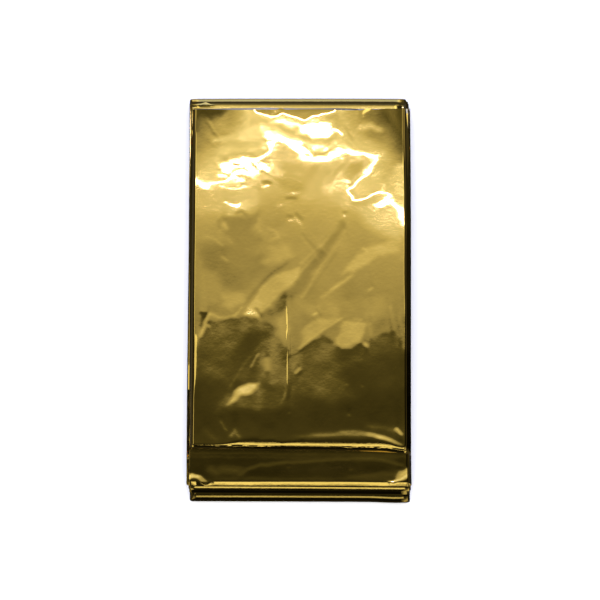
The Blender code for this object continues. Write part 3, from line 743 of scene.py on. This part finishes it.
def panel_height(panel, ply, u, x, y, left, right):
    """Height of one pleat on a panel: the uppermost is the layer's film, and it presses down the others."""
    fold = min(panel + 1, PANELS - 1)
    film = upper_film(panel, u, x, y, left, right)
    if fold == panel + 1:
        outer = fold_middle(fold, u)[1] + OUTER
        film = film - nose_drop(fold, way_along(fold) * (fold_place(fold, u) - y) + outer, u)
    if is_upper(panel, ply):
        return film
    if panel == 0:
        slope = ENDS_SLOPE + STEEPER_SLOPE * ease((u - STEEPER_FROM) / STEEPER_RUN)
        film = top_surface(x, np.minimum(y, ENDS_FROM)) + top_sides(x, y, left, right)
        film = film - slope * np.maximum(y - ENDS_FROM, 0)
    if panel == OVERHANG_PANEL:
        film = film - OVERHANG_CLEAR
    middle = level(panel, u, y)
    floor = (middle + level(panel + 1, u, y)) / 2 if panel < PANELS - 1 else middle - PITCH / 2
    thinned = 1 - EDGE_THINNING * ease(1 - np.minimum(x - left, right - x) / ROUNDED_EDGE)
    z = middle + (1 if panel % 2 == 0 else -1) * ply_offset(ply) * thinned
    return floor + (z - floor) * np.minimum((film - floor) / (middle + OUTER - floor), 1)


def fold_height(fold, ply, turn, u, x, left, right):
    """Height of one pleat on a fold, where the turn goes from 0 above to pi below."""
    middle, radius = fold_middle(fold, u)
    outer = radius + OUTER
    bend = radius + (1 if fold % 2 else -1) * ply_offset(ply)
    start, reach = fold_place(fold, u), way_along(fold) * outer
    above = upper_film(fold - 1, u, x, start + reach * np.sin(turn), left, right) - middle
    above = above - nose_drop(fold, outer * (1 - np.sin(turn)), u)
    end = upper_film(fold - 1, u, x, start + reach, left, right) - middle - nose_drop(fold, 0 * turn, u)
    if not is_upper(fold - 1, ply):
        above = np.minimum(above, outer * np.cos(turn)) * bend / outer
        end = np.minimum(end, 0) * bend / outer
        if fold == OVERHANG_PANEL + 1:
            above = above - OVERHANG_CLEAR
    below = end + (bend + end) * np.cos(turn)
    return middle + np.where(turn < pi / 2, above, below)


def free_end(ply, u):
    """How far past the top film one pleat reaches at the strip's free end."""
    if ply > 0:
        return END_STAGGER * (0.65 + 0.35 * np.sin(2.2 * ply + 3 * u))
    waves = sum(height * np.sin(turns * u + start) for height, turns, start in END_WAVES)
    dents = sum(ease(1 - np.abs(u - at) / width) for at, width in END_DENTS)
    return waves + END_DENT_DEPTH * dents + END_LONGER * ease((u - LONGER_FROM) / LONGER_RUN)


def film_grid(segment, ply, along, across):
    """Points of one pleat on one panel or fold: along runs 0 to 1, across -1 to 1."""
    v, u = np.meshgrid(along, across, indexing="ij")
    overhang = CUT_OVERHANG * (u + 1) / 2 if ply == 0 else 0
    if segment % 2 == 0:
        panel = segment // 2
        start, stop = fold_place(panel, u), fold_place(panel + 1, u)
        y = start + (stop - start) * v
        if panel == 0:
            y = y + (1 - v) ** END_FADE * free_end(ply, u)
        place = np.clip(panel + (y - REACH[panel]) / (REACH[panel + 1] - REACH[panel]), 0, PANELS)
        left, right = sides(ply, place)
        x = left + (right - left) * (u + 1) / 2
        if panel == 0:
            x = x + overhang
        z = panel_height(panel, ply, u, x, y, left, right)
    else:
        fold = (segment + 1) // 2
        turn = pi * v
        place = np.full(u.shape, float(fold))
        left, right = sides(ply, place)
        x = left + (right - left) * (u + 1) / 2
        if fold == 1:
            x = x + overhang * np.cos(turn / 2) ** 2
        bend = fold_middle(fold, u)[1] + (1 if fold % 2 else -1) * ply_offset(ply)
        y = fold_place(fold, u) + way_along(fold) * bend * np.sin(turn)
        z = fold_height(fold, ply, turn, u, x, left, right)
    skew = np.interp(place, np.arange(PANELS + 1), SKEW) * u / 2
    return np.stack([x, y + skew, z], axis=-1)


def film_counts(segment, ply):
    """How many points a pleat has along and across one panel or fold: most of them on the film that shows."""
    if ply == 0 and segment == 0:
        return 290, 172
    if ply == 0 and segment in (1, 2 * OVERHANG_PANEL + 1):
        return 18, 110
    if ply == 0 and segment == 2 * OVERHANG_PANEL:
        return 76, 140
    outer = ply in (0, PLIES - 1)
    if segment % 2:
        return (12, 36) if outer else (5, 4)
    if is_upper(segment // 2, ply):
        return 24, 36
    return (10, 12) if outer else (9, 4)


def film_spread(segment, ply):
    """Where those points lie: along from 0 to 1, across from 1 to -1 or, on every other pleat, back."""
    rows, columns = film_counts(segment, ply)
    along = np.linspace(0, 1, rows)
    if segment % 2:
        along = (np.arange(rows) + 0.5) / rows
    elif segment == 0 and ply > 0:
        along = along**2
    elif segment > 0 and is_upper(segment // 2, ply):
        along = 1 - (1 - along) ** 3
    if ply == 0 and segment == 2 * OVERHANG_PANEL:  # most of its rows are in the stretch that reaches out
        along = np.interp(along, (0, 0.2, 1), (0, 0.865, 1))
    across = np.linspace(1, -1, columns)
    if 4 < columns < 150:
        across = np.sin(across * pi / 2) * 0.35 + across * 0.65
    return along, across[::-1] if ply % 2 else across


def zip_lines(a, b):
    """Triangles between two rows of points that run the same way, however many each has."""
    faces, i, j = [], 0, 0
    while i < len(a) - 1 or j < len(b) - 1:
        next_a = (i + 1) / (len(a) - 1) if i < len(a) - 1 else 2.0
        next_b = (j + 1) / (len(b) - 1) if j < len(b) - 1 else 2.0
        if next_a <= next_b:
            faces.append((a[i], a[i + 1], b[j]))
            i += 1
        else:
            faces.append((a[i], b[j + 1], b[j]))
            j += 1
    return faces


def folded_film(name):
    """The whole sheet as one open surface: a grid for each pleat on each panel and fold, zipped together.

    The sheet's outer face is the first material, and every other pleat shows the inner face, the second.
    """
    points, faces, silver, grids, count = [], [], [], {}, 0
    for segment in range(SEGMENTS):
        for ply in range(PLIES):
            grid = film_grid(segment, ply, *film_spread(segment, ply))
            rows, columns = grid.shape[:2]
            points.append(grid.reshape(-1, 3))
            index = np.arange(count, count + rows * columns).reshape(rows, columns)
            count += rows * columns
            grids[segment, ply] = index
            quads = np.stack([index[:-1, :-1], index[:-1, 1:], index[1:, 1:], index[1:, :-1]], axis=-1)
            if segment == 0 and ply % 2:
                silver.extend(range(len(faces), len(faces) + columns - 1))
            faces.extend(quads.reshape(-1, 4).tolist())
    for (segment, ply), index in grids.items():
        below = grids.get((segment + 1, ply))
        beside = grids.get((segment, ply + 1))
        if below is not None:
            faces.extend(zip_lines(index[-1].tolist(), below[0].tolist()))
        if beside is not None:
            if ply % 2:
                silver.extend(range(len(faces), len(faces) + len(index) + len(beside) - 2))
            faces.extend(zip_lines(beside[:, 0].tolist(), index[:, -1].tolist()))
        if below is not None and beside is not None:
            last = grids[segment + 1, ply + 1]
            if ply % 2:
                silver.append(len(faces))
            faces.append((index[-1, -1], beside[-1, 0], last[0, 0], below[0, -1]))
    data = bpy.data.meshes.new(name)
    data.from_pydata((np.concatenate(points) * MM).tolist(), [], [[int(i) for i in face] for face in faces])
    data.update()
    slots = np.zeros(len(faces), np.int32)
    slots[silver] = 1
    data.polygons.foreach_set("material_index", slots)
    data.shade_smooth()
    return placed(name, data)


# ---- materials ----
FINISH_SCALE = 1000.0  # the finish is laid out in millimetres
CLEAR, HAZY = 0.06, 0.12  # roughness of the film's clearest and dullest places
WRINKLE_STRENGTH, WRINKLE_HEIGHT = 0.09, 0.00012
PAINTED_SHADE_HEIGHTS, PAINTED_SHADE_SHARE = (0.002, 0.011), 0.42  # painted shade: the film's colour darkens low in the pack, between these heights in metres, to this share


def placed(name, data):
    """A new object in the scene."""
    made = bpy.data.objects.new(name, data)
    bpy.context.scene.collection.objects.link(made)
    return made


def add_node(tree, kind, inputs, **settings):
    """A node with these settings. Each input takes a value or another node's output."""
    made = tree.nodes.new("ShaderNode" + kind)
    for setting, value in settings.items():
        setattr(made, setting, value)
    for socket, source in inputs.items():
        if isinstance(source, bpy.types.NodeSocket):
            tree.links.new(source, made.inputs[socket])
        else:
            made.inputs[socket].default_value = source
    return made


def ranged(tree, source, before, after):
    """A socket with this value taken from one range to another, held at the ends."""
    ends = {"From Min": before[0], "From Max": before[1], "To Min": after[0], "To Max": after[1]}
    return add_node(tree, "MapRange", {"Value": source, **ends}).outputs["Result"]


def combined(tree, operation, *sources):
    """A socket with these values put through one operation."""
    return add_node(tree, "Math", dict(enumerate(sources)), operation=operation).outputs["Value"]


def film_finish_group():
    """Fine wrinkles, haze and shade that both faces of the film have."""
    group = bpy.data.node_groups.new("film_finish", "ShaderNodeTree")
    for socket, value in (("Scale", FINISH_SCALE), ("Clear", CLEAR), ("Hazy", HAZY)):
        made = group.interface.new_socket(socket, in_out="INPUT", socket_type="NodeSocketFloat")
        made.default_value = value
    for socket in ("Height", "Haze", "Shade"):
        group.interface.new_socket(socket, in_out="OUTPUT", socket_type="NodeSocketFloat")
    start, end = group.nodes.new("NodeGroupInput").outputs, group.nodes.new("NodeGroupOutput").inputs
    place = add_node(group, "TexCoord", {}).outputs["Object"]
    scaled = add_node(group, "VectorMath", {0: place, "Scale": start["Scale"]}, operation="SCALE")
    spot = {"Vector": scaled.outputs["Vector"]}
    fine = add_node(group, "TexNoise", {**spot, "Scale": 0.9, "Detail": 3.0, "Roughness": 0.55})
    broad = add_node(group, "TexNoise", {**spot, "Scale": 0.06, "Detail": 3.0}).outputs["Fac"]
    cells = add_node(group, "TexVoronoi", {**spot, "Scale": 0.16}, feature="DISTANCE_TO_EDGE")
    height = combined(group, "MULTIPLY_ADD", cells.outputs["Distance"], 0.35, fine.outputs["Fac"])
    group.links.new(height, end["Height"])
    group.links.new(ranged(group, broad, (0.42, 0.75), (start["Clear"], start["Hazy"])), end["Haze"])
    group.links.new(broad, end["Shade"])
    return group


def film_material(name, light, deep, finish):
    """Metallised film of one tint, uneven between a light and a deep shade, with painted shade darkening it
    low in the pack.
    """
    material = bpy.data.materials.new(name)
    material.use_nodes = True
    tree = material.node_tree
    effect = tree.nodes.new("ShaderNodeGroup")
    effect.node_tree = finish
    shades = {"Factor": effect.outputs["Shade"], "A": (*light, 1), "B": (*deep, 1)}
    tint = add_node(tree, "Mix", shades, data_type="RGBA")
    place = add_node(tree, "TexCoord", {}).outputs["Object"]
    height = add_node(tree, "SeparateXYZ", {"Vector": place}).outputs["Z"]
    # painted shade: the colour darkens low in the pack, where the lower layers lie in shade
    painted_shade = ranged(tree, height, PAINTED_SHADE_HEIGHTS, (PAINTED_SHADE_SHARE, 1.0))
    shares = {"Factor": 1.0, "A": tint.outputs["Result"], "B": painted_shade}
    colour_with_painted_shade = add_node(tree, "Mix", shares, data_type="RGBA", blend_type="MULTIPLY")
    bumps = {"Strength": WRINKLE_STRENGTH, "Distance": WRINKLE_HEIGHT, "Height": effect.outputs["Height"]}
    shader = tree.nodes["Principled BSDF"].inputs
    shader["Metallic"].default_value = 1.0
    tree.links.new(colour_with_painted_shade.outputs["Result"], shader["Base Color"])
    tree.links.new(effect.outputs["Haze"], shader["Roughness"])
    tree.links.new(add_node(tree, "Bump", bumps).outputs["Normal"], shader["Normal"])
    return material


# ---- studio ----
Light = namedtuple("Light", "name place radiance size colour shift mirrored", defaults=((1, 1, 1), 0.0, True))
LIGHTS = [  # soft panels that face the blanket, in metres; one that isn't mirrored lights only the floor
    Light("hot_strip", (0, 0.333, 1.5), 9.0, (1.2, 0.054), colour=(1.0, 0.98, 2.4)),
    Light("front_strip", (0, -0.691, 1.293), 0.45, (0.78, 0.11), shift=0.26),
    Light("front_glow", (0, -0.692, 1.294), 0.36, (0.78, 0.24), shift=0.26),
    Light("back_strip", (0, 1.2, 0.84), 0.62, (1.4, 0.88), colour=(0.78, 0.95, 2.0)),
    Light("left_strip", (-0.62, 0.1, 1.33), 0.6, (1.08, 0.26)),
    Light("right_strip", (0.62, 0.28, 1.33), 0.6, (0.72, 0.26)),
    Light("overhead", (0, 0, 1.6), 4.5, (1.6, 1.6), mirrored=False),
]
LOW, MID, HIGH = (1.0, 0.7), (1.0, 1.0), (1.06, 1.4)  # green and blue against red
SKY = [  # the room's brightness by how many degrees it lies towards +Y from straight overhead
    (-90, 0.003, LOW), (-38, 0.006, LOW), (-20, 0.016, LOW), (-14, 0.03, LOW), (-12, 0.045, LOW),
    (-8, 0.06, LOW), (-6, 0.08, LOW), (-4.5, 0.12, LOW), (-3.5, 0.2, MID), (-2.5, 0.3, MID), (0, 0.37, MID),
    (2.5, 0.45, MID), (4.5, 0.54, MID), (6.5, 0.66, MID), (8.5, 0.78, HIGH), (10.5, 0.88, HIGH),
    (14.5, 0.88, HIGH), (17, 0.62, MID), (19.5, 0.42, MID), (23, 0.2, MID), (27, 0.08, LOW),
    (35, 0.02, LOW), (70, 0.02, LOW), (78, 0.06, HIGH),
]
BESIDE, BESIDE_DIM = (0.3, 0.5), 0.02  # the sky fades out to both sides, between these shares of X
# the room to the sides, where the film mirrors it: each pair is where it fades in or out, as shares of
# the height or of the way across and along that a direction has
ROOM_COLOUR = (1.0, 0.98, 0.95, 1)
ROOM_TOP, ROOM_ACROSS, ROOM_ALONG, ROOM_BOTTOM = (0.72, 0.86), (0.2, 0.4), (0.25, 0.45), (0.14, 0.26)
ROOM_AROUND, ROOM_AROUND_TOP = 0.08, (0.42, 0.55)  # and a dimmer one, lower down
FLOOR_SIZE = 4.0
# the second colour is painted shade that the floor shows only where the film mirrors it
FLOOR_WHITE, FLOOR_SHADE_IN_MIRROR = (0.86, 0.86, 0.86, 1), (0.03, 0.03, 0.03, 1)


def studio_light(row):
    """One of the lights above."""
    data = bpy.data.lights.new(row.name, "AREA")
    data.shape = "RECTANGLE"
    data.size, data.size_y = row.size
    data.energy = row.radiance * row.size[0] * row.size[1] * 4
    data.color = row.colour
    light = placed(row.name, data)
    light.location = Vector(row.place) + Vector((row.shift, 0, 0))
    light.rotation_euler = Vector(row.place).to_track_quat("Z", "Y").to_euler()
    light.visible_camera = False
    light.visible_glossy = row.mirrored


def sky_light(tree, axes):
    """Light from above that falls off steeply towards the near side."""
    ramp = tree.nodes.new("ShaderNodeValToRGB")
    stops = ramp.color_ramp.elements
    stops.remove(stops[1])
    for number, (angle, value, tint) in enumerate(SKY):
        position = 0.5 + 0.5 * sin(radians(angle))
        stop = stops[0] if number == 0 else stops.new(position)
        stop.position = position
        stop.color = (value, value * tint[0], value * tint[1], 1)
    tree.links.new(combined(tree, "MULTIPLY_ADD", axes["Y"], 0.5, 0.5), ramp.inputs["Fac"])
    beside = ranged(tree, combined(tree, "ABSOLUTE", axes["X"]), BESIDE, (1.0, BESIDE_DIM))
    return {"Color": ramp.outputs["Color"], "Strength": beside}


def room_light(tree, place, axes):
    """A softly lit, cloudy room that the film mirrors when it is seen from the side."""
    across, along = (combined(tree, "ABSOLUTE", axes[axis]) for axis in "XY")
    high = ranged(tree, axes["Z"], ROOM_TOP, (1.0, 0.0))
    high = combined(tree, "MULTIPLY", high, ranged(tree, across, ROOM_ACROSS, (0.0, 1.0)))
    high = combined(tree, "MULTIPLY", high, ranged(tree, along, ROOM_ALONG, (0.0, 1.0)))
    around = ranged(tree, axes["Z"], ROOM_AROUND_TOP, (ROOM_AROUND, 0.0))
    strength = combined(tree, "MAXIMUM", high, around)
    strength = combined(tree, "MULTIPLY", strength, ranged(tree, axes["Z"], ROOM_BOTTOM, (0.0, 1.0)))
    clouds = add_node(tree, "TexNoise", {"Vector": place, "Scale": 2.2, "Detail": 1.0}).outputs["Fac"]
    strength = combined(tree, "MULTIPLY", strength, ranged(tree, clouds, (0.38, 0.62), (0.1, 0.75)))
    return {"Color": ROOM_COLOUR, "Strength": strength}


def make_world():
    """The lit room, and a plain pale backdrop where the camera looks straight at it."""
    world = bpy.data.worlds.new("studio")
    bpy.context.scene.world = world
    world.use_nodes = True
    tree = world.node_tree
    place = add_node(tree, "TexCoord", {}).outputs["Generated"]
    axes = add_node(tree, "SeparateXYZ", {"Vector": place}).outputs
    lit = (sky_light(tree, axes), room_light(tree, place, axes), {"Color": FLOOR_WHITE})
    sky, room, backdrop = (add_node(tree, "Background", inputs).outputs["Background"] for inputs in lit)
    both = add_node(tree, "AddShader", {0: sky, 1: room}).outputs["Shader"]
    seen = add_node(tree, "LightPath", {}).outputs["Is Camera Ray"]
    shown = add_node(tree, "MixShader", {"Fac": seen, 1: both, 2: backdrop})
    tree.links.new(shown.outputs["Shader"], tree.nodes["World Output"].inputs["Surface"])


def make_floor():
    """A plain pale floor, with painted shade where the film mirrors it."""
    data = bpy.data.meshes.new("floor")
    corners = [(FLOOR_SIZE * x, FLOOR_SIZE * y, 0) for x, y in ((-1, -1), (1, -1), (1, 1), (-1, 1))]
    data.from_pydata(corners, [], [(0, 1, 2, 3)])
    floor = placed("floor", data)
    material = bpy.data.materials.new("floor_white")
    material.use_nodes = True
    tree = material.node_tree
    shader = tree.nodes["Principled BSDF"]
    shader.inputs["Base Color"].default_value = FLOOR_WHITE
    shader.inputs["Roughness"].default_value = 0.9
    shader.inputs["Specular IOR Level"].default_value = 0.1
    # painted shade: the floor turns dark only in the film's reflections
    dark = add_node(tree, "BsdfDiffuse", {"Color": FLOOR_SHADE_IN_MIRROR}).outputs["BSDF"]
    mirrored = add_node(tree, "LightPath", {}).outputs["Is Glossy Ray"]
    shown = add_node(tree, "MixShader", {"Fac": mirrored, 1: shader.outputs["BSDF"], 2: dark})
    tree.links.new(shown.outputs["Shader"], tree.nodes["Material Output"].inputs["Surface"])
    data.materials.append(material)


def make_camera():
    """Straight above the blanket, from as far as the leans are reckoned."""
    data = bpy.data.cameras.new("camera")
    data.sensor_width = 36.0
    data.lens = 200.0
    data.clip_end = 20
    camera = placed("camera", data)
    camera.location = (0.00036, 0.00009, SEEN_FROM * MM)
    bpy.context.scene.camera = camera


make_world()
make_floor()
make_camera()
for row in LIGHTS:
    studio_light(row)
bpy.context.scene.view_settings.view_transform = "Standard"

finish = film_finish_group()
blanket = folded_film("foil_blanket")
blanket.data.materials.append(film_material("gold_film", (0.94, 0.66, 0.155), (0.9, 0.62, 0.12), finish))
blanket.data.materials.append(film_material("silver_film", (0.64, 0.58, 0.48), (0.5, 0.45, 0.37), finish))

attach(blanket, "root")
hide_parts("blanket")
